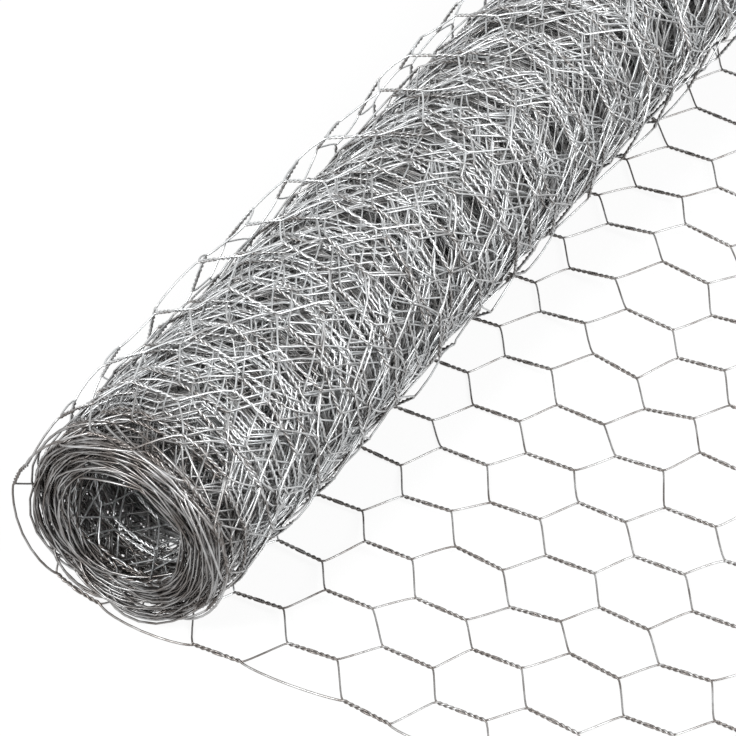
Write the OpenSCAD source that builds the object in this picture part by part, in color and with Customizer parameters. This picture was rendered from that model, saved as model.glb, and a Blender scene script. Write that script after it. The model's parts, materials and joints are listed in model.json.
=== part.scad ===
// Roll of galvanised hexagonal wire netting, lying on its side with its outer turn loose.
// X runs the way the netting unrolls, Y along the roll, Z up. The origin is the middle of the bore.
// Lengths are in millimetres.

/* [Netting] */
// Width of the netting, which is also the length of the roll
netting_w = 500; // [250:25:1000]
// Length of the whole netting, wound and loose
netting_l = 10000; // [5000:500:20000]
// Mesh size, from one twist to the next across a cell
mesh = 25; // [20:1:40]
// Pitch of the cells along the netting
cell_pitch = 50; // [40:1:70]
// Length of one twist of two wires
twist_l = 17; // [12:0.5:20]
// Diameter of the netting wire
wire_d = 0.6; // [0.5:0.05:1.2]
// Diameter of the selvedge wire
selvedge_d = 0.7; // [0.6:0.05:1.6]
// How far the selvedge bows out between two of its twists
selvedge_bow = 2; // [0:0.5:4]
// How far the far selvedge lags behind the near one, since the netting is pulled askew
skew = 29; // [-40:1:40]

/* [Roll] */
// Outer diameter of the wound roll
roll_d = 70; // [58:1:90]
// How much the roll is drawn in at its two ends, in radius
end_draw = 1.5; // [0:0.25:3]
// How far from each end the roll is drawn in
draw_l = 60; // [20:5:100]
// Thickness of the wound turns, from the bore to the outside of the roll
wall_t = 15.5; // [8:0.5:22]
// Depth of the grooves between the pairs of turns on the two ends
end_groove = 1.5; // [0.5:0.5:4]

/* [Loose turn] */
// How much larger the loose turn is than the roll, in radius
turn_slack = 0.75; // [0.25:0.25:4]
// How far the middle of the loose turn lies behind the middle of the roll
turn_shift = 5; // [3:0.5:8]
// How far from the near end the loose turn comes free of the roll
free_from = 90; // [50:5:200]
// Where the first row of selvedge twists lies, ahead of the middle of the roll
first_row = 31.5; // [28:0.5:40]
// Rows of twists on the floor, counted from the first row
floor_rows = 8; // [4:1:9]

/* [Hidden] */
zinc = "#9a9da0";
roll_r = roll_d / 2;
bore_r = roll_r - wall_t;
loose_r = roll_r + turn_slack;
row_gap = cell_pitch / 2;
columns = 2 * round(netting_w / mesh);
column_w = netting_w / columns;
// Thickness of a twist, two wires, and the width over the corners of its six sided bar
twist_t = 2 * wire_d;
twist_d = twist_t / cos(30);
// Straight twists bridge the bend under the roll, so the netting lies this much below it
bridge = twist_l * twist_l / (8 * loose_r);
seat = 0.3 * bridge;
sheet_z = -roll_r - seat - wire_d;
turn_z = sheet_z + loose_r;
// Middle of the last wound turn, and the turns under it, which its straight twists bridge
wound_r = roll_r - twist_d / 2;
under_r = wound_r - twist_d / 2 - twist_l * twist_l / (8 * (wound_r - end_draw)) - 0.02;
// Where the loose turn runs onto the roll: angle after it leaves the floor, and angle round the roll
turn_off = norm([turn_shift, turn_z]);
meet = (wound_r * wound_r - loose_r * loose_r - turn_off * turn_off) / (2 * loose_r * turn_off);
meet_a = 180 - asin(max(-1, meet)) + atan2(turn_z, turn_shift);
meet_t = atan2(turn_z - loose_r * cos(meet_a), -turn_shift - loose_r * sin(meet_a));
// Length of the outer turn, from where it leaves the floor until it is under the roll again
turn_l = (meet_a * loose_r + (meet_t + 100) * wound_r) * PI / 180;
turn_rows = ceil((first_row + turn_shift + turn_l) / row_gap);
// Turns in the roll, which show on its ends in pairs
loose_l = PI * loose_r + floor_rows * row_gap;
turns = max(3, round((netting_l - loose_l) / (PI * (roll_r + bore_r))));
rings = max(2, round(turns / 2));
end_r = under_r - end_draw;
ring_t = (end_r - bore_r) / rings;
land = 0.6 * ring_t;

// Distance along the netting from where it leaves the floor, ahead of it positive
function along(i, n) = first_row + turn_shift + i * row_gap - skew * n / columns;

// How much the roll is drawn in at a place along it
function draw_at(y) = end_draw * max(0, 1 - (netting_w / 2 - abs(y)) / draw_l);

// How free the loose turn is of the roll: tight high up at the near end, free low down and from a way in
function freedom(a, y) =
    let (hold = max(0, min(1, (a - 30) / 60)))
    1 - hold * pow(max(0, 1 - (y + netting_w / 2) / free_from), 2);

// A point of the loose turn, an angle after it leaves the floor. Its straight twists bridge the roll
function on_turn(a, y) =
    let (x = -turn_shift - loose_r * sin(a), z = turn_z - loose_r * cos(a), r = norm([x, z]))
    let (tight = roll_r - draw_at(y) + wire_d + bridge + seat)
    let (k = r > tight ? (tight + (r - tight) * freedom(a, y)) / r : 1)
    [k * x, y, k * z];

// A point of the last wound turn, a distance after the loose turn has run onto the roll
function on_roll(l, y) =
    let (r = wound_r - draw_at(y) * min(1, l / roll_r), t = meet_t - l / wound_r * 180 / PI)
    [r * cos(t), y, r * sin(t)];

// A point of the netting: flat on the floor ahead, then round the loose turn and down the front of the roll
function at(s, y) =
    let (a = -s / loose_r * 180 / PI)
    s >= 0 ? [s - turn_shift, y, sheet_z]
    : a < meet_a ? on_turn(a, y)
    : on_roll((a - meet_a) * loose_r * PI / 180, y);

function column_y(n) = n * column_w - netting_w / 2;
function back(i, n) = at(along(i, n) - twist_l / 2, column_y(n));
function front(i, n) = at(along(i, n) + twist_l / 2, column_y(n));
function is_twist(i, n) = along(i, n) > -turn_l && (i + n) % 2 == 0;

// The bowed middle of the selvedge between two twists of one edge
function bow(i, n) =
    at(along(i + 1, n), column_y(n) + (n == 0 ? -selvedge_bow : selvedge_bow));

// Straight six sided bar with one flat facing down
module bar(p, q, d) {
    v = q - p;
    l = norm(v);
    translate(p)
        rotate([0, acos(v.z / l), atan2(v.y, v.x)])
            rotate([0, 0, 30])
                cylinder(h = l, d = d, $fn = 6);
}

// One twist, a little longer than its wires are straight, so that they start inside it
module twist(i, n) {
    p = back(i, n);
    q = front(i, n);
    e = (q - p) / norm(q - p) * wire_d / 2;
    bar(p - e, q + e, twist_d);
}

// Single wires from a twist to the two twists of the next row, cut short at a share of their length
module wires_on(i, n, from, to) {
    p = front(i, n);
    for (k = [n - 1, n + 1])
        if (k >= 0 && k <= columns) {
            v = back(i + 1, k) - p;
            bar(p + from * v, p + to * v, wire_d);
        }
}

// Selvedge wire from an edge twist out to its bow, and from the bow in to the next edge twist
module selvedge_out(i, n) {
    if (n == 0 || n == columns)
        bar(front(i, n), bow(i, n), selvedge_d);
}

module selvedge_in(i, n) {
    if (n == 0 || n == columns)
        bar(bow(i - 2, n), back(i, n), selvedge_d);
}

// The turns under the last one: a turned body with its bore and a groove after each pair of turns on each end
module roll() {
    h = netting_w / 2;
    end = concat(
        [for (k = [0 : rings - 2], r = bore_r + k * ring_t)
            each [[r, h], [r + land, h], [r + land, h - end_groove], [r + ring_t, h - end_groove]]],
        [[end_r - ring_t, h], [end_r, h], [under_r, h - draw_l]]);
    other_end = [for (k = [len(end) - 1 : -1 : 0]) [end[k].x, -end[k].y]];
    color(zinc)
        rotate([90, 0, 0])
            rotate_extrude($fn = 120)
                polygon(concat(end, other_end));
}

// The outer turn, loose from under the roll round its back and over its top, then wound down its front
module loose_turn() {
    color(zinc)
        union()
            for (i = [-turn_rows : -1], n = [0 : columns])
                if (is_twist(i, n)) {
                    twist(i, n);
                    wires_on(i, n, 0, i < -1 ? 1 : 0.5);
                    selvedge_out(i, n);
                    if (is_twist(i - 2, n))
                        selvedge_in(i, n);
                }
}

// The unrolled end, flat on the floor under and ahead of the roll
module loose_end() {
    color(zinc)
        union()
            for (i = [-1 : floor_rows - 1], n = [0 : columns])
                if (is_twist(i, n)) {
                    if (i >= 0) {
                        twist(i, n);
                        selvedge_in(i, n);
                    }
                    if (i < floor_rows - 1)
                        wires_on(i, n, i < 0 ? 0.5 : 0, 1);
                    if (i >= 0 && i < floor_rows - 2)
                        selvedge_out(i, n);
                }
}

roll();
loose_turn();
loose_end();
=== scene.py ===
"""Roll of galvanised hexagonal wire netting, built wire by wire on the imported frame.

The netting is one sheet. It runs from the bore out through the wound turns, over the loose turn and along
the floor. Every wire zigzags between two columns of twists. Lengths are in metres.
"""

from collections import namedtuple
import json
import math

import bpy
import numpy as np
from bpy.props import FloatProperty, FloatVectorProperty, IntProperty, PointerProperty, StringProperty
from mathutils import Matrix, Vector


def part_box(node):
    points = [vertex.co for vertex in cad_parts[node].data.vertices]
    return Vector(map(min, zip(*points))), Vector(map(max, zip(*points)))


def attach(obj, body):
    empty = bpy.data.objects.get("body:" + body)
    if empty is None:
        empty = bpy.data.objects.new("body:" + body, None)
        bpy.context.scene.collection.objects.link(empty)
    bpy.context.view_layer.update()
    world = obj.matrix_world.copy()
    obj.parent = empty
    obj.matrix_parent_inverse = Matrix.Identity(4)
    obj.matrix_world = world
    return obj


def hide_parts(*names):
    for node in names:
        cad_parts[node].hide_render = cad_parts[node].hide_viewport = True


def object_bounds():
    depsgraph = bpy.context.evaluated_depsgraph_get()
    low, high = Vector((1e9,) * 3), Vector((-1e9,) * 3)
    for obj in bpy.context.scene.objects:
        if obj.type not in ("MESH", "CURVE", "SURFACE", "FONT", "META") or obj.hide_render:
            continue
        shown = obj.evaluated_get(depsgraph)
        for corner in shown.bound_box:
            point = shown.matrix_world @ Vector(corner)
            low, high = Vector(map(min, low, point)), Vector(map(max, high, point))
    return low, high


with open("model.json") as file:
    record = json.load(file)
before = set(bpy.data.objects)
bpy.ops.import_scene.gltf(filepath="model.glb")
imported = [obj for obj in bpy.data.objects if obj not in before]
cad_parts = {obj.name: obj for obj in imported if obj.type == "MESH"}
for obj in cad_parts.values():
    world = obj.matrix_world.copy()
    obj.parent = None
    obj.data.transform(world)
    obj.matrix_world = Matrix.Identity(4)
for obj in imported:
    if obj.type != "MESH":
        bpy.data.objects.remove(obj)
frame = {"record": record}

bl_info = {
    "name": "Wire Netting Roll",
    "version": (1, 0, 0),
    "blender": (4, 5, 0),
    "location": "View3D > Sidebar > Netting",
    "description": "Builds a roll of hexagonal wire netting with its outer turn loose",
    "category": "Add Mesh",
}

MM = 0.001
TURN = 2 * math.pi
CAD_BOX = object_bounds()
ROLL_LOW, ROLL_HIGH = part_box("roll")
MOUNTS = {mount["name"]: mount for mount in frame["record"]["mounts"]}
WIRE = 0.6 * MM

# Sweep and step of the loose turn in degrees, and step of the wound turns, where their run is worked out
LOOSE_SWEEP = 300
LOOSE_STEP = 0.5
WOUND_STEP = math.radians(1)
# The last wound turns that sag at the side, and how many sags would fill half a turn
SAG_TURNS = 2
SAG_PACE = 1.3
# Half turns of the loose turn after which it runs into the roll, and after which its rows count as wound
MERGE_AFTER = 1.24
WOUND_AFTER = 1.15
# Lengths of netting in which it settles into the roll, about one turn, leaves the floor and lines the bore
SETTLE_RUN = 0.2
LEAVE_RUN = 0.03
LINING_RUN = 0.25
# How far ahead of its middle the roll holds the unrolled netting down, and up to what height it presses it
HELD_RUN = 0.04
PRESS_HEIGHT = 8 * MM
# Turns that spring off the roll, and columns from an edge that share in what the edge does
SPRUNG_TURNS = 3
EDGE_COLUMNS = 4
# The row whose twist flares off the near edge
FLARED_ROW = -4
# Waves that a ripple is made of
RIPPLE_WAVES = 5
# The loose turn's angles in degrees from which the roll starts to hold it, and over which it comes to hold
HOLD_FROM = 30
HOLD_SWEEP = 60
# Clearance of the tight loose turn from the roll, in wires
TIGHT_GAP = 1.5
# Draw lengths from the near end after which the gap behind the roll opens
BACK_GAP_FROM = 0.5
# Share of the roll's length after which the side slack starts to grow, and over which it grows
SLACK_SHARE = 0.35
# Share of half a twist in which its wires wind, and from its axis to the axis of a wire, in wires
WINDING_SHARE = 0.9
STRAND_GAP = 0.57
# How much the points of a single wire crowd towards its ends, and share of its bow out of the netting
CROWDING = 0.35
BOW_OUT = 0.6
# How long a wire keeps the line of its twist, as a share of its length
WIRE_REACH = 0.05
SELVEDGE_REACH = 0.14
# Free margin beside each wire's strip in the unwrapped places, and size of its end faces there
STRIP_MARGIN = 0.1
END_FACE = 0.3
# How far in from the ends of the roll the zinc is darkened, as painted shade on the end faces
PAINTED_END_SHADE_RUN = 25 * MM
# Sizes of the patches and of the grain of the zinc, and height of the grain
PATCH_SIZE = 9 * MM
GRAIN_SIZE = 0.9 * MM
GRAIN_HEIGHT = 0.05 * MM
# Rows of twists in the layers of wound turns, from the outside in, and round the bore
OUTERMOST_ROWS = 28
OUTER_ROWS = 42
UNDER_ROWS = 50
BORE_ROWS = 26
FLOOR_SIZE = 12
LAMP_TARGET = (0.02, -0.1, 0)
WHITE = (1, 1, 1, 1)

# Rows of netting that make one piece: straight pieces in a twist, points on a single wire, sides of a wire,
# zinc tone, partly weathering and partly painted light, painted shade at the roll's ends, and the wires,
# all if None
Layer = namedtuple("Layer", "name first last segments points sides patina end_patina wires")


class NettingSizes(bpy.types.PropertyGroup):
    """Sizes of the netting itself."""

    width: FloatProperty(
        name="Width", description="Width of the netting, which is the length of the roll",
        default=ROLL_HIGH.y - ROLL_LOW.y, min=0.1, unit="LENGTH")
    length: FloatProperty(
        name="Length", description="Length of the whole netting, wound and loose",
        default=10.0, min=1.0, unit="LENGTH")
    mesh: FloatProperty(
        name="Mesh", description="From one twist to the next across a cell",
        default=25 * MM, min=0.01, unit="LENGTH")
    cell_pitch: FloatProperty(
        name="Cell pitch", description="Pitch of the cells along the netting",
        default=50 * MM, min=0.02, unit="LENGTH")
    twist: FloatProperty(
        name="Twist", description="Length of one twist of two wires",
        default=17 * MM, min=0.005, unit="LENGTH")
    twist_turns: FloatProperty(
        name="Turns in half a twist", description="Turns that two wires make before they turn back",
        default=1.95, min=0.5)
    wire: FloatProperty(
        name="Wire", description="Diameter of the netting wire",
        default=WIRE, min=0.0003, unit="LENGTH")
    selvedge: FloatProperty(
        name="Selvedge wire", description="Diameter of the wire along both edges",
        default=0.7 * MM, min=0.0003, unit="LENGTH")
    selvedge_bow: FloatProperty(
        name="Selvedge bow", description="How far the edge wire bows out between two twists",
        default=2 * MM, unit="LENGTH")
    skew: FloatProperty(
        name="Skew", description="How far the far edge lags behind the near one",
        default=29 * MM, unit="LENGTH")
    first_row: FloatProperty(
        name="First row", description="First row of edge twists, ahead of the middle of the roll",
        default=31.5 * MM, unit="LENGTH")
    floor_rows: IntProperty(
        name="Rows on the floor", description="Rows of twists on the floor",
        default=8, min=2)


class RollSizes(bpy.types.PropertyGroup):
    """Sizes of the roll and of its loose turn."""

    radius: FloatProperty(
        name="Roll radius", description="Radius of the wound roll",
        default=35 * MM, min=0.01, unit="LENGTH")
    bore: FloatProperty(
        name="Bore radius", description="Radius of the bore",
        default=MOUNTS["core_bore"]["dims"]["r_mm"] * MM, min=0.005, unit="LENGTH")
    turn_slack: FloatProperty(
        name="Loose turn slack", description="How much larger the loose turn is than the roll, in radius",
        default=0.75 * MM, unit="LENGTH")
    turn_shift: FloatProperty(
        name="Loose turn shift", description="How far the loose turn's middle lies behind the roll's",
        default=5 * MM, unit="LENGTH")
    sheet_height: FloatProperty(
        name="Sheet height", description="Height of the middle of the netting that lies on the floor",
        default=MOUNTS["floor_rest"]["pos_m"][2] + WIRE, unit="LENGTH")
    end_draw: FloatProperty(
        name="End draw", description="How much the roll is drawn in at its two ends, in radius",
        default=1.5 * MM, unit="LENGTH")
    draw_length: FloatProperty(
        name="Draw length", description="How far from each end the roll is drawn in",
        default=60 * MM, min=0.001, unit="LENGTH")
    free_from: FloatProperty(
        name="Free from", description="How far from the near end the loose turn comes free of the roll",
        default=90 * MM, min=0.001, unit="LENGTH")
    back_gap: FloatProperty(
        name="Back gap", description="How far the wound turns draw away from the loose turn behind",
        default=2 * MM, unit="LENGTH")
    back_way: FloatProperty(
        name="Back way", description="The way from the roll's middle to where that gap is widest",
        default=math.radians(149), unit="ROTATION")
    near_slack: FloatProperty(
        name="Near side slack", description="How far the last wound turns sag at the side, at the near end",
        default=2 * MM, unit="LENGTH")
    far_slack: FloatProperty(
        name="Far side slack", description="How far the last wound turns sag at the side, at the far end",
        default=7 * MM, unit="LENGTH")


class NettingWear(bpy.types.PropertyGroup):
    """How uneven the netting is."""

    seed: IntProperty(
        name="Seed", description="Seed of all that is uneven",
        default=11)
    wander: FloatProperty(
        name="Twist wander", description="How far a twist strays from its place",
        default=0.6 * MM, unit="LENGTH")
    turn: FloatProperty(
        name="Twist turn", description="How far a twist turns in the netting",
        default=math.radians(2.5), unit="ROTATION")
    kink: FloatProperty(
        name="Wire kink", description="How far a single wire bows between two twists",
        default=0.35 * MM, unit="LENGTH")
    lift: FloatProperty(
        name="Floor lift", description="How far the unrolled netting floats, between its waves",
        default=1.2 * MM, unit="LENGTH")
    long_wave: FloatProperty(
        name="Long wave", description="Height of the unrolled netting's long waves, from their middle",
        default=2 * MM, unit="LENGTH")
    long_pitch: FloatProperty(
        name="Long wave pitch", description="Pitch of the long waves, which run askew over the netting",
        default=167 * MM, min=0.01, unit="LENGTH")
    long_way: FloatProperty(
        name="Long wave way", description="The way of the long waves, from the way the netting unrolls",
        default=math.radians(62.5), unit="ROTATION")
    short_wave: FloatProperty(
        name="Short wave",
        description="Height of the waves that cells keep from the roll, from their middle",
        default=1.4 * MM, unit="LENGTH")
    short_pitch: FloatProperty(
        name="Short wave pitch", description="Pitch of the waves that cells keep from the roll",
        default=52.7 * MM, min=0.01, unit="LENGTH")
    short_start: FloatProperty(
        name="Short wave start", description="Where a short wave is highest, ahead of the roll's middle",
        default=4.9 * MM, unit="LENGTH")
    shuffle: FloatProperty(
        name="Turn shuffle", description="How far the wound turns stand back from the ends",
        default=12 * MM, unit="LENGTH")
    stretch: FloatProperty(
        name="Turn stretch", description="How far the columns of wound turns stand out of line",
        default=8 * MM, unit="LENGTH")
    fluff: FloatProperty(
        name="Fluff", description="How far the outermost wound turns spring off the roll",
        default=1.2 * MM, unit="LENGTH")
    poke: FloatProperty(
        name="Twist poke", description="How far a twist of the outer turns turns out of the roll",
        default=math.radians(4), unit="ROTATION")
    flare: FloatProperty(
        name="Edge flare", description="How far one twist of the near edge springs off the roll's back",
        default=5.5 * MM, unit="LENGTH")
    flare_turn: FloatProperty(
        name="Edge flare turn", description="How far that twist turns in from the edge",
        default=math.radians(12), unit="ROTATION")
    stiffness: FloatProperty(
        name="Twist stiffness", description="How much a twist stays straight on the roll, from 0 to 1",
        default=0.85, min=0, max=1)


class ZincFinish(bpy.types.PropertyGroup):
    """Colours of the galvanised wire, and the painted shade in its twists."""

    bright: StringProperty(
        name="Bright zinc", description="Clean zinc, as an sRGB hex value",
        default="#d3d5d6")
    dull: StringProperty(
        name="Dull zinc", description="Weathered zinc, as an sRGB hex value",
        default="#6f6a67")
    # Painted shade: how much darker the zinc is on the half of each twist's wires away from the side seen
    painted_twist_shade: FloatProperty(
        name="Groove", description="How much duller the zinc is where the two wires of a twist pass",
        default=0.8, min=0)


class StageSizes(bpy.types.PropertyGroup):
    """Place and lens of the camera."""

    azimuth: FloatProperty(
        name="Azimuth", description="Camera's angle round the roll",
        default=math.radians(30.4), unit="ROTATION")
    elevation: FloatProperty(
        name="Elevation", description="Camera's angle above the floor",
        default=math.radians(40.2), unit="ROTATION")
    distance: FloatProperty(
        name="Distance", description="From the camera to what it looks at",
        default=1.229, unit="LENGTH")
    target: FloatVectorProperty(
        name="Target", description="The point that the camera looks at",
        default=(23.8 * MM, -150.5 * MM, -0.55 * MM), subtype="TRANSLATION")
    lens: FloatProperty(
        name="Lens", description="Focal length on a 36 mm frame",
        default=196.5, unit="CAMERA")


# Shape of the netting


def column_count(netting):
    """Number of the last column of twists, counted from 0 at the near edge."""
    return 2 * round(netting.width / netting.mesh)


def along(netting, roll, row, column):
    """Distance along the netting of a row of twists in a column."""
    lag = netting.skew * column / column_count(netting)
    return netting.first_row + roll.turn_shift + row * netting.cell_pitch / 2 - lag


def half_turns(roll, count):
    """Length of some half turns of the loose turn."""
    return count * math.pi * (roll.radius + roll.turn_slack)


def run_of_netting(netting, roll):
    """Distance along the netting, place, outward normal and share of side slack, seen along the roll.

    Distance is 0 where the loose turn leaves the floor, and grows towards the unrolled end.
    """
    loose = roll.radius + roll.turn_slack
    middle = np.array([-roll.turn_shift, roll.sheet_height + loose])
    front = along(netting, roll, netting.floor_rows, 0)
    floor = np.array([[front - roll.turn_shift, roll.sheet_height]])
    outer = roll.radius - netting.wire
    inner = roll.bore + netting.wire

    sweep = np.radians(np.arange(0, LOOSE_SWEEP, LOOSE_STEP))
    turn = middle + loose * np.stack([-np.sin(sweep), -np.cos(sweep)], 1)
    merged = np.argmax((sweep > math.pi / 2) & (np.hypot(*turn.T) < outer))
    turn = turn[:merged]

    wound = netting.length - front - loose * sweep[merged]
    angle = np.arange(0, 2 * wound / (outer + inner), WOUND_STEP)
    start = math.atan2(turn[-1, 1], turn[-1, 0])
    radius = outer - (outer - inner) * angle / angle[-1]
    spiral = radius[:, None] * np.stack([np.cos(start - angle), np.sin(start - angle)], 1)

    in_turn = angle % TURN
    sag = np.clip(1 - angle / (SAG_TURNS * TURN), 0, 1) * np.clip(np.sin(SAG_PACE * in_turn), 0, 1)
    sag *= in_turn < math.pi / SAG_PACE
    sag = np.concatenate([np.zeros(1 + len(turn)), sag[1:]])[::-1]

    place = np.concatenate([floor, turn, spiral[1:]])[::-1]
    step = np.diff(place, axis=0)
    distance = np.concatenate([[0], np.cumsum(np.hypot(*step.T))])
    distance -= distance[-2]
    ahead = np.gradient(place, distance, axis=0)
    ahead /= np.hypot(*ahead.T)[:, None]
    return distance, place, np.stack([ahead[:, 1], -ahead[:, 0]], 1), sag


def ripple(random, s, y, shortest, longest, height):
    """A smooth uneven surface over the netting, as a few waves of different lengths."""
    total = np.zeros(np.broadcast(s, y).shape)
    for length in np.geomspace(shortest, longest, RIPPLE_WAVES):
        way = random.uniform(0, math.pi)
        phase = random.uniform(0, TURN)
        total += np.sin(TURN / length * (s * math.cos(way) + y * math.sin(way)) + phase)
    return height * total / (RIPPLE_WAVES / 2)


def floor_waves(wear, x, y):
    """Height of the unrolled netting above where it would lie flat. The roll holds it down close by."""
    run = x * math.cos(wear.long_way) + y * math.sin(wear.long_way)
    height = wear.lift + wear.long_wave * np.cos(TURN * run / wear.long_pitch)
    height += wear.short_wave * np.cos(TURN * (x - wear.short_start) / wear.short_pitch)
    return np.clip(height, 0, None) * np.clip(x / HELD_RUN, 0, 1)


class Lay:
    """Where every twist of the netting lies, and how the netting runs in space.

    A place in the netting is a distance s along it, y along the roll and a height h out of its run.
    The fields have one value for each row and column. Only every second one is a twist.
    """

    def __init__(self, scene):
        self.netting, self.roll, self.wear = scene.netting_sizes, scene.roll_sizes, scene.netting_wear
        self.distance, self.place, self.normal, self.sag = run_of_netting(self.netting, self.roll)
        self.columns = column_count(self.netting)
        self.merge = -half_turns(self.roll, MERGE_AFTER)
        row_gap = self.netting.cell_pitch / 2
        zero = along(self.netting, self.roll, 0, 0)
        self.first = math.ceil((self.distance[0] - zero + self.netting.skew + row_gap) / row_gap)
        self.last = self.netting.floor_rows - 1
        self.first_loose = -math.ceil((zero + half_turns(self.roll, WOUND_AFTER)) / row_gap)

        row = np.arange(self.first, self.last + 1)[:, None]
        column = np.arange(self.columns + 1)
        s = along(self.netting, self.roll, row, column)
        y = np.broadcast_to(column * self.netting.width / self.columns - self.netting.width / 2, s.shape)
        self.share_out(s, column)
        random = np.random.default_rng(self.wear.seed)
        self.spread(random, s, y)
        floor_tilt = self.lift(random, s, y)
        self.bend(random, s.shape)
        self.tip(random, floor_tilt)

    def share_out(self, s, column):
        """How much each twist belongs to the parts of the netting, from 0 to 1, and which side is seen."""
        turns_in = (self.merge - s) / SETTLE_RUN
        height = np.interp(s, self.distance, self.place[:, 1]) - self.roll.sheet_height
        self.on_floor = s > 0
        self.off_floor = np.clip(-s / LEAVE_RUN, 0, 1)
        self.wound = np.clip(turns_in, 0, 1)
        self.sprung = self.wound * np.clip(SPRUNG_TURNS - turns_in, 0, 1)
        self.free = self.off_floor * (1 - self.wound)
        self.pressed = np.clip(1 - height / PRESS_HEIGHT, 0, 1)
        self.inside = np.clip(np.minimum(column, self.columns - column) / EDGE_COLUMNS, 0, 1)
        self.lining = np.clip(1 - (s - self.distance[0]) / LINING_RUN, 0, 1)
        self.seen = np.where(self.on_floor | (self.lining > 0), -1, 1)

    def uneven(self, wound, sprung, free):
        """How much more uneven each twist is than on the floor, from what the parts of the roll add."""
        return wound * self.wound + sprung * self.sprung + free * self.free

    def spread(self, random, s, y):
        """Places of the twists in the netting, and how they turn in it."""
        half = self.netting.width / 2
        stray = self.wear.wander * (1 + self.uneven(wound=0.8, sprung=0, free=1) * self.inside)
        edge_share = np.where(self.inside > 0, 1, 0.4)
        self.s = s + random.normal(0, 1, s.shape) * stray
        self.y = y + random.normal(0, 1, s.shape) * stray * edge_share

        back = ripple(random, s, np.sign(y), shortest=0.16, longest=0.9, height=1) ** 2
        least, most = 0.05, 1.2
        self.y -= self.wound * self.wear.shuffle * (np.minimum(back, most) + least) * y / half
        out_of_line = ripple(random, s, y, shortest=0.8, longest=4, height=self.wear.stretch)
        self.y += self.wound * self.inside * out_of_line

        more = 1 + self.uneven(wound=0.4, sprung=0.8, free=1.5) * self.inside
        self.angle = random.normal(0, self.wear.turn, s.shape) * more

    def lift(self, random, s, y):
        """Heights of the twists. Gives the tilt that the waves of the floor would have."""
        reach = self.netting.twist / 2
        x = s - self.roll.turn_shift
        start, end = floor_waves(self.wear, x - reach, y), floor_waves(self.wear, x + reach, y)

        height = ripple(random, s, y, shortest=0.04, longest=0.2, height=0.3 * MM)
        height += random.normal(0, 0.25 * MM, s.shape) * (1 + self.free)
        fluff = np.abs(ripple(random, s, y, shortest=0.05, longest=0.2, height=self.wear.fluff))
        height += self.sprung * (1 - self.pressed) * fluff
        edge = ripple(random, s, 0 * y, shortest=0.07, longest=0.25, height=1 * MM)
        height += self.wound * (1 - self.inside) * edge
        sag = np.abs(ripple(random, s, y, shortest=0.05, longest=0.2, height=1.5 * MM))
        height -= self.lining * sag
        self.h = np.where(self.on_floor, -start, height * self.off_floor * (1 - self.pressed))
        return np.arctan2(start - end, self.netting.twist)

    def bend(self, random, shape):
        """How the single wires and the selvedges bow between the twists."""
        more = 1 + self.uneven(wound=1, sprung=1, free=1)
        lost_when_pressed, more_when_wound = 0.8, 0.4
        kept = np.where(self.on_floor, 1, 1 - lost_when_pressed * self.pressed)
        self.bow = random.normal(0, 1, (*shape, 2)) * (self.wear.kink * more * kept)[..., None]
        least, most = 0.5, 1.6
        bow = self.netting.selvedge_bow * random.uniform(least, most, shape)
        self.edge_bow = bow * (1 + more_when_wound * self.wound)
        self.edge_lift = random.normal(0, 1.1 * MM, shape) * self.wound

    def tip(self, random, floor_tilt):
        """How the twists tilt out of the netting, and how much they stay straight on the roll."""
        poke = random.normal(0, self.wear.poke, floor_tilt.shape) * np.clip(self.free + self.sprung, 0, 1)
        self.tilt = np.where(self.on_floor, floor_tilt, poke * self.inside * (1 - self.pressed))
        deep = np.clip(self.wound - self.sprung, 0, 1)
        deep_share, edge_share = 0.5, 0.25
        self.stiff = self.wear.stiffness * (1 - (1 - deep_share) * deep)
        self.stiff = self.stiff * (edge_share + (1 - edge_share) * self.inside)
        self.tilt[FLARED_ROW - self.first, 0] = math.asin(self.wear.flare / self.netting.twist)
        self.angle[FLARED_ROW - self.first, 0] = self.wear.flare_turn

    def from_near_end(self, y):
        """Distance from the near end of the roll."""
        return y + self.netting.width / 2

    def drawn_in(self, y):
        """How much the roll is drawn in towards its ends, in radius."""
        from_end = self.netting.width / 2 - np.abs(y)
        return self.roll.end_draw * np.clip(1 - from_end / self.roll.draw_length, 0, 1)

    def turn_radius(self, s, y, r):
        """Radius of the loose turn, which lies tight on the roll high up at the near end."""
        roll = self.roll
        tight = roll.radius - self.drawn_in(y) + TIGHT_GAP * self.netting.wire
        sweep = np.degrees(-s / (roll.radius + roll.turn_slack))
        hold = np.clip((sweep - HOLD_FROM) / HOLD_SWEEP, 0, 1)
        freedom = 1 - hold * np.clip(1 - self.from_near_end(y) / roll.free_from, 0, 1) ** 2
        return np.where(r > tight, tight + (r - tight) * freedom, r)

    def wound_radius(self, x, y, z, r):
        """Radius of the wound turns, drawn in at the ends, and behind, where the loose turn stands off."""
        roll = self.roll
        behind = np.clip(np.cos(np.arctan2(z, x) - roll.back_way), 0, 1)
        opened = np.clip(self.from_near_end(y) / roll.draw_length - BACK_GAP_FROM, 0, 1)
        gap = roll.back_gap * behind * opened
        outward = np.clip((r - roll.bore) / (roll.radius - roll.bore), 0, 1)
        return r - (self.drawn_in(y) + gap) * outward

    def side_slack(self, y):
        """How far the last wound turns sag at the side, which grows smoothly towards the far end."""
        roll = self.roll
        far = np.clip(self.from_near_end(y) / self.netting.width / SLACK_SHARE - 1, 0, 1)
        return roll.near_slack + (roll.far_slack - roll.near_slack) * far * far * (3 - 2 * far)

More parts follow.
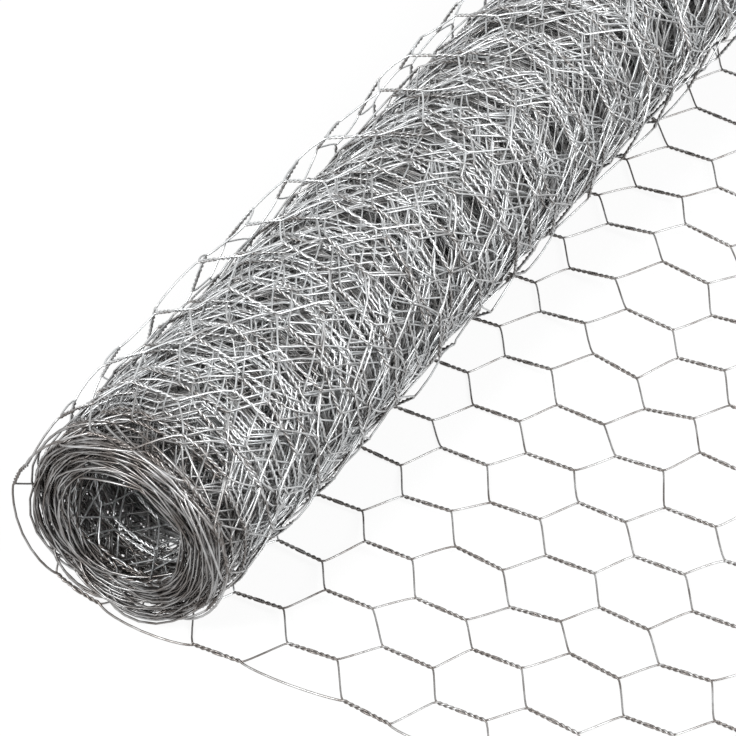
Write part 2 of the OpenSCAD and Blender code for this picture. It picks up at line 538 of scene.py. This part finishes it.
    def at(self, s, y, h):
        """Points in space, and the netting's outward normals there, from places in the netting."""
        lines = (*self.place.T, *self.normal.T, self.sag)
        x, z, nx, nz, sag = (np.interp(s, self.distance, line) for line in lines)
        length = np.hypot(nx, nz)
        nx, nz = nx / length, nz / length
        r = np.hypot(x, z)
        radius = np.where(s > self.merge, self.turn_radius(s, y, r), self.wound_radius(x, y, z, r))
        k = np.where(s > 0, 1, radius / r)
        h = h + sag * self.side_slack(y)
        return np.stack([k * x + h * nx, y, k * z + h * nz], -1), np.stack([nx, 0 * nx, nz], -1)


def twist_strand(lay, row, column, side, segments):
    """One of the two wires of each twist.

    Gives its places in the netting, how far the stiff twist leaves the netting's curve, and how deep the
    wire lies in the twist, from 0 on the side that is seen to 1 behind.
    """
    netting = lay.netting
    k = row - lay.first
    fields = (lay.s, lay.y, lay.h, lay.angle, lay.tilt)
    s, y, h, angle, tilt = (field[k, column][..., None] for field in fields)
    u = np.linspace(-1, 1, segments + 1)
    wound = np.clip((1 - np.abs(u)) / WINDING_SHARE, 0, 1) * TURN * netting.twist_turns
    # Painted shade: the half of each turn away from the side seen is darkened later
    painted_twist_shade = (1 - (lay.seen[k, column] * side)[..., None] * np.sin(wound)) / 2
    gap = side[..., None] * netting.wire * STRAND_GAP
    ahead = u * netting.twist / 2
    across = gap * np.cos(wound)
    axis = (
        s + ahead * np.cos(angle),
        y + ahead * np.sin(angle),
        h + (u + 1) * netting.twist / 2 * np.sin(tilt),
    )
    spot = (
        axis[0] - across * np.sin(angle),
        axis[1] + across * np.cos(angle),
        axis[2] + gap * np.sin(wound),
    )
    curved = lay.at(*axis)[0]
    share = ((u + 1) / 2)[:, None]
    straight = curved[..., :1, :] * (1 - share) + curved[..., -1:, :] * share
    shift = lay.stiff[k, column][..., None, None] * (straight - curved)
    return np.stack(spot, -1), shift, painted_twist_shade


def join_wire(spot, angle, bow, reach, points):
    """Places along the single wires, which leave one twist and enter the next along their own lines."""
    start, end = spot[:, :-1, -1], spot[:, 1:, 0]
    t = (np.arange(points) + 1) / (points + 1)
    t = (t - CROWDING * np.sin(TURN * t) / TURN)[:, None]
    reach = reach * np.linalg.norm(end - start, axis=-1, keepdims=True)
    line = np.stack([np.cos(angle), np.sin(angle), 0 * angle], -1)
    leave, enter = start + reach * line[:, :-1], end - reach * line[:, 1:]
    start, leave, enter, end = (p[..., None, :] for p in (start, leave, enter, end))
    near = (1 - t) ** 3 * start + 3 * (1 - t) ** 2 * t * leave
    far = 3 * (1 - t) * t ** 2 * enter + t ** 3 * end
    return near + far + np.sin(math.pi * t) * bow[:, :-1, None, :]


def zigzag_wires(lay, first, last, segments, points, wires=None):
    """Wires between the selvedges over some rows, all of them or some.

    Gives points in space, the netting's normals and depths in the twists, wire by wire.
    """
    wire = np.arange(lay.columns)[:, None] if wires is None else np.asarray(wires)[:, None]
    row = np.arange(first, min(last + 1, lay.last) + 1)[None, :]
    column = wire + (row + wire) % 2
    side = np.where(column == wire, 1, -1)
    spot, shift, painted_twist_shade = twist_strand(lay, row + 0 * wire, column, side, segments)
    angle = lay.angle[row - lay.first, column]
    bow = lay.bow[row - lay.first, column]
    bow = np.stack([0 * bow[..., 0], bow[..., 0], BOW_OUT * bow[..., 1]], -1)
    joins = join_wire(spot, angle, bow, WIRE_REACH, points)
    return thread(lay, spot, shift, painted_twist_shade, joins, last < lay.last)


def selvedge_wire(lay, first, last, edge, segments, points):
    """The wire along one edge over some rows, which joins in every second row and bows out between."""
    column = lay.columns * edge
    outward = 2 * edge - 1
    first += (first + column) % 2
    row = np.arange(first, min(last + 2, lay.last) + 1, 2)[None, :]
    spot, shift, painted_twist_shade = twist_strand(lay, row, column + 0 * row, outward + 0 * row, segments)
    angle = lay.angle[row - lay.first, column]
    out = outward * lay.edge_bow[row - lay.first, column]
    bow = np.stack([0 * out, out, lay.edge_lift[row - lay.first, column]], -1)
    joins = join_wire(spot, angle, bow, SELVEDGE_REACH, points)
    return thread(lay, spot, shift, painted_twist_shade, joins, last < lay.last)


def thread(lay, spot, shift, painted_twist_shade, joins, goes_on):
    """Twists and joins as one run for each wire. Where the wire goes on, it stops at the next twist."""
    count = len(spot)
    space, normal = lay.at(*np.moveaxis(spot, -1, 0))
    space = space + shift
    link, link_normal = lay.at(*np.moveaxis(joins, -1, 0))
    body = np.concatenate([space[:, :-1], link], 2).reshape(count, -1, 3)
    body_normal = np.concatenate([normal[:, :-1], link_normal], 2).reshape(count, -1, 3)
    body_painted_twist_shade = np.concatenate([painted_twist_shade[:, :-1], np.zeros(joins.shape[:3])], 2).reshape(count, -1)
    tail = slice(0, 1) if goes_on else slice(None)
    return (
        np.concatenate([body, space[:, -1, tail]], 1),
        np.concatenate([body_normal, normal[:, -1, tail]], 1),
        np.concatenate([body_painted_twist_shade, painted_twist_shade[:, -1, tail]], 1),
    )


# Meshes


def tubes(points, normal, painted_twist_shade, radius, sides):
    """Corners, side faces, end faces, unwrapped places and depths of wires that follow rows of points.

    A wire of few sides is as wide, seen from all round, as the round wire.
    """
    wires, count = points.shape[:2]
    radius = radius * math.pi / (sides * math.sin(math.pi / sides))
    ahead = np.gradient(points, axis=1)
    across = np.cross(ahead, normal)
    across /= np.linalg.norm(across, axis=-1, keepdims=True)
    above = np.cross(across, ahead)
    above /= np.linalg.norm(above, axis=-1, keepdims=True)
    turn = TURN * (np.arange(sides) + 0.5) / sides
    ring = np.cos(turn)[:, None] * across[:, :, None] + np.sin(turn)[:, None] * above[:, :, None]
    corner = (points[:, :, None] + radius * ring).reshape(-1, 3)

    w, p, k = np.meshgrid(np.arange(wires), np.arange(count - 1), np.arange(sides), indexing="ij")
    after = (k + 1) % sides
    here = (w * count + p) * sides
    quads = np.stack([here + k, here + after, here + sides + after, here + sides + k], -1).reshape(-1, 4)
    first = np.arange(wires)[:, None] * count * sides
    last = first + (count - 1) * sides
    ends = np.concatenate([first + np.arange(sides)[::-1], last + np.arange(sides)])

    low, high = p / count, (p + 1) / count
    strip = (1 - 2 * STRIP_MARGIN) / sides
    start, stop = ((w + STRIP_MARGIN + strip * (k + side)) / wires for side in (0, 1))
    quad_uv = np.stack([low, start, low, stop, high, stop, high, start], -1).reshape(-1, 2)
    face = np.stack([np.cos(turn), np.sin(turn)], -1) * END_FACE / max(wires, count)
    middle = (np.arange(wires)[:, None] + 0.5) / wires
    end_places = (0.5 / count, 1 - 0.5 / count)
    first_uv, last_uv = (np.stack([0 * middle + u, middle], -1) + face for u in end_places)
    end_uv = np.concatenate([first_uv[:, ::-1], last_uv]).reshape(-1, 2)
    return corner, quads, ends, np.concatenate([quad_uv, end_uv]), np.repeat(painted_twist_shade, sides)


def new_piece(name, parts, patina, end_patina, material):
    """One mesh object from several sets of tubes, with painted shade towards the ends of the roll and in
    the twists.
    """
    scene = bpy.context.scene
    mesh = bpy.data.meshes.new(name)
    corner, corners_of, starts, uv, painted_twist_shades = [], [], [], [], []
    base = loops = 0
    for number, (points, quads, ends, places, painted_twist_shade) in enumerate(parts):
        corner.append(points)
        painted_twist_shades.append(painted_twist_shade)
        for faces in (quads, ends):
            corners_of.append(faces.ravel() + base)
            starts.append(loops + np.arange(len(faces)) * faces.shape[1])
            loops += faces.size
        uv.append((places + [0, number]) / [1, len(parts)])
        base += len(points)
    corner = np.concatenate(corner)
    starts = np.concatenate(starts).astype(np.int32)
    mesh.vertices.add(base)
    mesh.vertices.foreach_set("co", corner.astype(np.float32).ravel())
    mesh.loops.add(loops)
    mesh.loops.foreach_set("vertex_index", np.concatenate(corners_of).astype(np.int32))
    mesh.polygons.add(len(starts))
    mesh.polygons.foreach_set("loop_start", starts)
    mesh.update(calc_edges=True)
    layer = mesh.uv_layers.new(name="OFBake", do_init=False)
    layer.uv.foreach_set("vector", np.concatenate(uv).astype(np.float32).ravel())

    # Each point's tone: the piece's tone, partly weathering and partly painted light, plus painted shade
    # near the roll's ends and in the twists
    patina_and_painted_light_attribute = mesh.attributes.new("patina", "FLOAT", "POINT")
    past_end = np.abs(corner[:, 1]) - ROLL_HIGH.y
    patina = patina + end_patina * np.clip(1 + past_end / PAINTED_END_SHADE_RUN, 0, 1)
    # Painted shade on the far half of each twist's wires
    patina = patina + scene.zinc_finish.painted_twist_shade * np.concatenate(painted_twist_shades)
    patina_and_painted_light_attribute.data.foreach_set("value", patina.astype(np.float32))
    mesh.shade_smooth()
    mesh.materials.append(material)
    piece = bpy.data.objects.new(name, mesh)
    scene.collection.objects.link(piece)
    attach(piece, "root")
    return piece


def loose_parts(lay, first, last):
    """Tubes of all the wires over some loose rows, finely divided."""
    netting = lay.netting
    parts = [tubes(*zigzag_wires(lay, first, last, segments=24, points=5), netting.wire / 2, sides=5)]
    for edge in (0, 1):
        wire = selvedge_wire(lay, first, last, edge, segments=24, points=9)
        parts.append(tubes(*wire, netting.selvedge / 2, sides=6))
    return parts


# Materials


def linear(colour):
    """Linear colour of an sRGB hex value."""
    parts = [int(colour[k:k + 2], 16) / 255 for k in (1, 3, 5)]
    return (*(c / 12.92 if c <= 0.04045 else ((c + 0.055) / 1.055) ** 2.4 for c in parts), 1)


def add(tree, kind, settings=None, links=None):
    """Adds a node, sets its properties or input values, and links its inputs."""
    node = tree.nodes.new(kind)
    for key, value in (settings or {}).items():
        if isinstance(key, str) and hasattr(node, key):
            setattr(node, key, value)
        else:
            node.inputs[key].default_value = value
    for key, source in (links or {}).items():
        tree.links.new(source, node.inputs[key])
    return node


def new_material(name):
    """A material with an empty node tree, and the tree."""
    material = bpy.data.materials.get(name) or bpy.data.materials.new(name)
    material.use_nodes = True
    material.node_tree.nodes.clear()
    return material, material.node_tree


def galvanised_zinc(finish):
    """Hot dipped zinc on drawn steel wire.

    The zinc is dull and a little patchy: bright where it froze smooth, grey where it has weathered.
    Runs of the bath leave a slight grain along the wire. A point attribute adds each piece's tone and
    painted light and shade.
    """
    material, tree = new_material("galvanised_zinc")
    place = add(tree, "ShaderNodeTexCoord").outputs["Object"]
    patch = add(
        tree, "ShaderNodeTexNoise", {"Scale": 1 / PATCH_SIZE, "Detail": 3.0, "Roughness": 0.6},
        {"Vector": place})
    grain = add(tree, "ShaderNodeTexNoise", {"Scale": 1 / GRAIN_SIZE, "Detail": 2.0}, {"Vector": place})
    # Tone per point, partly weathering, partly painted light and shade
    patina_and_painted_light_attribute = add(tree, "ShaderNodeAttribute", {"attribute_name": "patina"})
    shade = add(
        tree, "ShaderNodeMapRange", {"From Min": 0.35, "From Max": 0.7, "To Min": -0.1, "To Max": 0.5},
        {"Value": patch.outputs["Fac"]})
    worn_and_painted_light = add(
        tree, "ShaderNodeMath", {"operation": "ADD", "use_clamp": True},
        {0: shade.outputs["Result"], 1: patina_and_painted_light_attribute.outputs["Fac"]})
    colour = add(
        tree, "ShaderNodeMix", {"data_type": "RGBA", 6: linear(finish.bright), 7: linear(finish.dull)},
        {0: worn_and_painted_light.outputs["Value"]})
    rough = add(
        tree, "ShaderNodeMapRange", {"From Min": 0.3, "From Max": 0.7, "To Min": 0.3, "To Max": 0.46},
        {"Value": grain.outputs["Fac"]})
    bump = add(
        tree, "ShaderNodeBump", {"Strength": 0.15, "Distance": GRAIN_HEIGHT},
        {"Height": grain.outputs["Fac"]})
    shader = add(
        tree, "ShaderNodeBsdfPrincipled", {"Metallic": 0.85},
        {
            "Base Color": colour.outputs[2],
            "Roughness": rough.outputs["Result"],
            "Normal": bump.outputs["Normal"],
        })
    add(tree, "ShaderNodeOutputMaterial", links={"Surface": shader.outputs["BSDF"]})
    return material


def seen_rays(tree):
    """A value of 1 for what is seen, directly, mirrored or through a clear thing, and 0 for plain light."""
    ray = add(tree, "ShaderNodeLightPath")
    seen = ray.outputs["Is Camera Ray"]
    for kind in ("Is Glossy Ray", "Is Transmission Ray"):
        either = add(tree, "ShaderNodeMath", {"operation": "MAXIMUM"}, {0: seen, 1: ray.outputs[kind]})
        seen = either.outputs["Value"]
    return seen


def white_floor():
    """Matt white studio floor: plain white to the camera and to the wire's gloss, with a soft shadow."""
    material, tree = new_material("white_studio_floor")
    share = add(tree, "ShaderNodeMath", {"operation": "MULTIPLY", 1: 0.9}, {0: seen_rays(tree)})
    matt = add(tree, "ShaderNodeBsdfDiffuse", {"Color": linear("#f4f4f4")})
    glow = add(tree, "ShaderNodeEmission", {"Color": WHITE, "Strength": 1.0})
    mixed = add(
        tree, "ShaderNodeMixShader",
        links={0: share.outputs["Value"], 1: matt.outputs["BSDF"], 2: glow.outputs["Emission"]})
    add(tree, "ShaderNodeOutputMaterial", links={"Surface": mixed.outputs["Shader"]})
    return material


# Stage


def add_floor(context):
    """A wide floor under the lowest wire."""
    bpy.ops.object.select_all(action="DESELECT")
    bpy.ops.mesh.primitive_plane_add(size=FLOOR_SIZE, location=(0, 0, CAD_BOX[0].z))
    floor = context.object
    floor.name = "studio_floor"
    bpy.ops.object.transform_apply(location=True, rotation=False, scale=False)
    floor.data.materials.append(white_floor())


def add_world(scene):
    """A studio that looks white and lights softly."""
    world = bpy.data.worlds.new("studio")
    scene.world = world
    world.use_nodes = True
    tree = world.node_tree
    tree.nodes.clear()
    level = add(tree, "ShaderNodeMapRange", {"To Min": 0.32, "To Max": 1.0}, {"Value": seen_rays(tree)})
    sky = add(tree, "ShaderNodeBackground", {"Color": WHITE}, {"Strength": level.outputs["Result"]})
    add(tree, "ShaderNodeOutputWorld", links={"Surface": sky.outputs["Background"]})


def add_lamp(scene, name, place, size, power):
    """A square softbox that faces the near part of the roll."""
    lamp = bpy.data.lights.new(name, "AREA")
    lamp.shape = "SQUARE"
    lamp.size = size
    lamp.energy = power
    box = bpy.data.objects.new(name, lamp)
    scene.collection.objects.link(box)
    box.location = place
    x, y, z = (a - b for a, b in zip(box.location, LAMP_TARGET))
    box.rotation_euler = (math.atan2(math.hypot(x, y), z), 0, math.atan2(x, -y))


def add_camera(scene, stage):
    """The camera, where it shows the roll as the photograph does."""
    data = bpy.data.cameras.new("camera")
    data.lens = stage.lens
    data.sensor_width = 36
    data.clip_start = 0.01
    camera = bpy.data.objects.new("camera", data)
    scene.collection.objects.link(camera)
    back = (
        math.sin(stage.azimuth) * math.cos(stage.elevation),
        -math.cos(stage.azimuth) * math.cos(stage.elevation),
        math.sin(stage.elevation),
    )
    camera.location = [t + stage.distance * b for t, b in zip(stage.target, back)]
    camera.rotation_euler = (math.pi / 2 - stage.elevation, 0, stage.azimuth)
    scene.camera = camera


# Operators


class NETTING_OT_loose_end(bpy.types.Operator):
    """Add the unrolled end of the netting, flat on the floor"""

    bl_idname = "netting.loose_end"
    bl_label = "Unrolled end"

    def execute(self, context):
        lay = Lay(context.scene)
        zinc = galvanised_zinc(context.scene.zinc_finish)
        parts = loose_parts(lay, 0, lay.last)
        # The unrolled end has darker zinc than the roll
        piece = new_piece("loose_end_netting", parts, patina=0.55, end_patina=0, material=zinc)
        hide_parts("loose_end")
        return {"FINISHED"}


class NETTING_OT_loose_turn(bpy.types.Operator):
    """Add the loose outer turn of the netting, round the back of the roll"""

    bl_idname = "netting.loose_turn"
    bl_label = "Loose turn"

    def execute(self, context):
        lay = Lay(context.scene)
        zinc = galvanised_zinc(context.scene.zinc_finish)
        parts = loose_parts(lay, lay.first_loose, -1)
        # The loose turn has lighter zinc, with painted shade towards the ends of the roll
        piece = new_piece("loose_turn_netting", parts, patina=-0.1, end_patina=0.8, material=zinc)
        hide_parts("loose_turn")
        return {"FINISHED"}


class NETTING_OT_wound_turns(bpy.types.Operator):
    """Add the wound turns of the netting, finest where they show, outside and in the bore"""

    bl_idname = "netting.wound_turns"
    bl_label = "Wound turns"

    def execute(self, context):
        lay = Lay(context.scene)
        netting = lay.netting
        zinc = galvanised_zinc(context.scene.zinc_finish)
        end = lay.first_loose
        outermost = end - OUTERMOST_ROWS
        outer = outermost - OUTER_ROWS
        under = outer - UNDER_ROWS
        middle = lay.first + BORE_ROWS
        between = range(1, lay.columns - 1)
        at_edges = (0, lay.columns - 1)

        # Zinc tone per layer, partly weathering and partly painted light: deeper layers and the bore are
        # lighter against their shade; the next number is painted shade at the roll's ends
        layers = (
            Layer("outermost_turns", outermost, end - 1, 20, 3, 3, 0.1, 0.5, None),
            Layer("outer_turns", outer, outermost - 1, 16, 2, 3, -0.2, 0.9, None),
            Layer("under_turns", under, outer - 1, 10, 1, 3, -0.4, 1.0, None),
            Layer("middle_turns", middle, under - 1, 1, 0, 3, -0.05, 0.5, between),
            Layer("middle_edges", middle, under - 1, 12, 1, 3, 0.15, 0.4, at_edges),
            Layer("bore_turns", lay.first, middle - 1, 14, 2, 3, -0.6, 0.4, None),
        )
        for layer in layers:
            wires = zigzag_wires(lay, layer.first, layer.last, layer.segments, layer.points, layer.wires)
            parts = [tubes(*wires, netting.wire / 2, layer.sides)]
            piece = new_piece(layer.name, parts, layer.patina, layer.end_patina, zinc)
            if layer.name == "outermost_turns":
                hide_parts("roll", "loose_turn")
            else:
                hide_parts("roll")

        # The edge wires have darker zinc, as painted shade on the ends of the roll
        selvedges = (
            Layer("rim_selvedges", outermost, end - 1, 16, 12, 5, 0.45, 0, None),
            Layer("wound_selvedges", lay.first, outermost - 1, 12, 8, 3, 0.62, 0, None),
        )
        for layer in selvedges:
            parts = []
            for edge in (0, 1):
                wire = selvedge_wire(lay, layer.first, layer.last, edge, layer.segments, layer.points)
                parts.append(tubes(*wire, netting.selvedge / 2, layer.sides))
            piece = new_piece(layer.name, parts, layer.patina, layer.end_patina, zinc)
            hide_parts("roll")
        return {"FINISHED"}


class NETTING_OT_stage(bpy.types.Operator):
    """Add the floor, the lamps and the camera"""

    bl_idname = "netting.stage"
    bl_label = "Stage"

    def execute(self, context):
        scene = context.scene
        add_floor(context)
        add_world(scene)
        add_lamp(scene, "key_softbox", place=(1.15, 0, 0.9), size=0.8, power=21)
        add_lamp(scene, "fill_softbox", place=(-0.35, -1.25, 1.1), size=0.5, power=30)
        add_camera(scene, scene.netting_stage)
        scene.view_settings.view_transform = "Standard"
        return {"FINISHED"}


class NETTING_PT_panel(bpy.types.Panel):
    """Buttons and sizes of the netting roll"""

    bl_idname = "NETTING_PT_panel"
    bl_label = "Wire Netting Roll"
    bl_space_type = "VIEW_3D"
    bl_region_type = "UI"
    bl_category = "Netting"

    def draw(self, context):
        for operator in OPERATORS:
            self.layout.operator(operator.bl_idname)
        for name in SETTINGS:
            group = getattr(context.scene, name)
            for key in group.bl_rna.properties.keys():
                if key not in {"rna_type", "name"}:
                    self.layout.prop(group, key)


SETTINGS = {
    "netting_sizes": NettingSizes,
    "roll_sizes": RollSizes,
    "netting_wear": NettingWear,
    "zinc_finish": ZincFinish,
    "netting_stage": StageSizes,
}
OPERATORS = (NETTING_OT_loose_end, NETTING_OT_loose_turn, NETTING_OT_wound_turns, NETTING_OT_stage)


def register():
    for group in (*SETTINGS.values(), *OPERATORS, NETTING_PT_panel):
        bpy.utils.register_class(group)
    for name, group in SETTINGS.items():
        setattr(bpy.types.Scene, name, PointerProperty(type=group))


def unregister():
    for name in SETTINGS:
        delattr(bpy.types.Scene, name)
    for group in reversed((*SETTINGS.values(), *OPERATORS, NETTING_PT_panel)):
        bpy.utils.unregister_class(group)


def main():
    register()
    bpy.ops.netting.loose_end()
    bpy.ops.netting.loose_turn()
    bpy.ops.netting.wound_turns()
    bpy.ops.netting.stage()


if __name__ == "__main__":
    main()
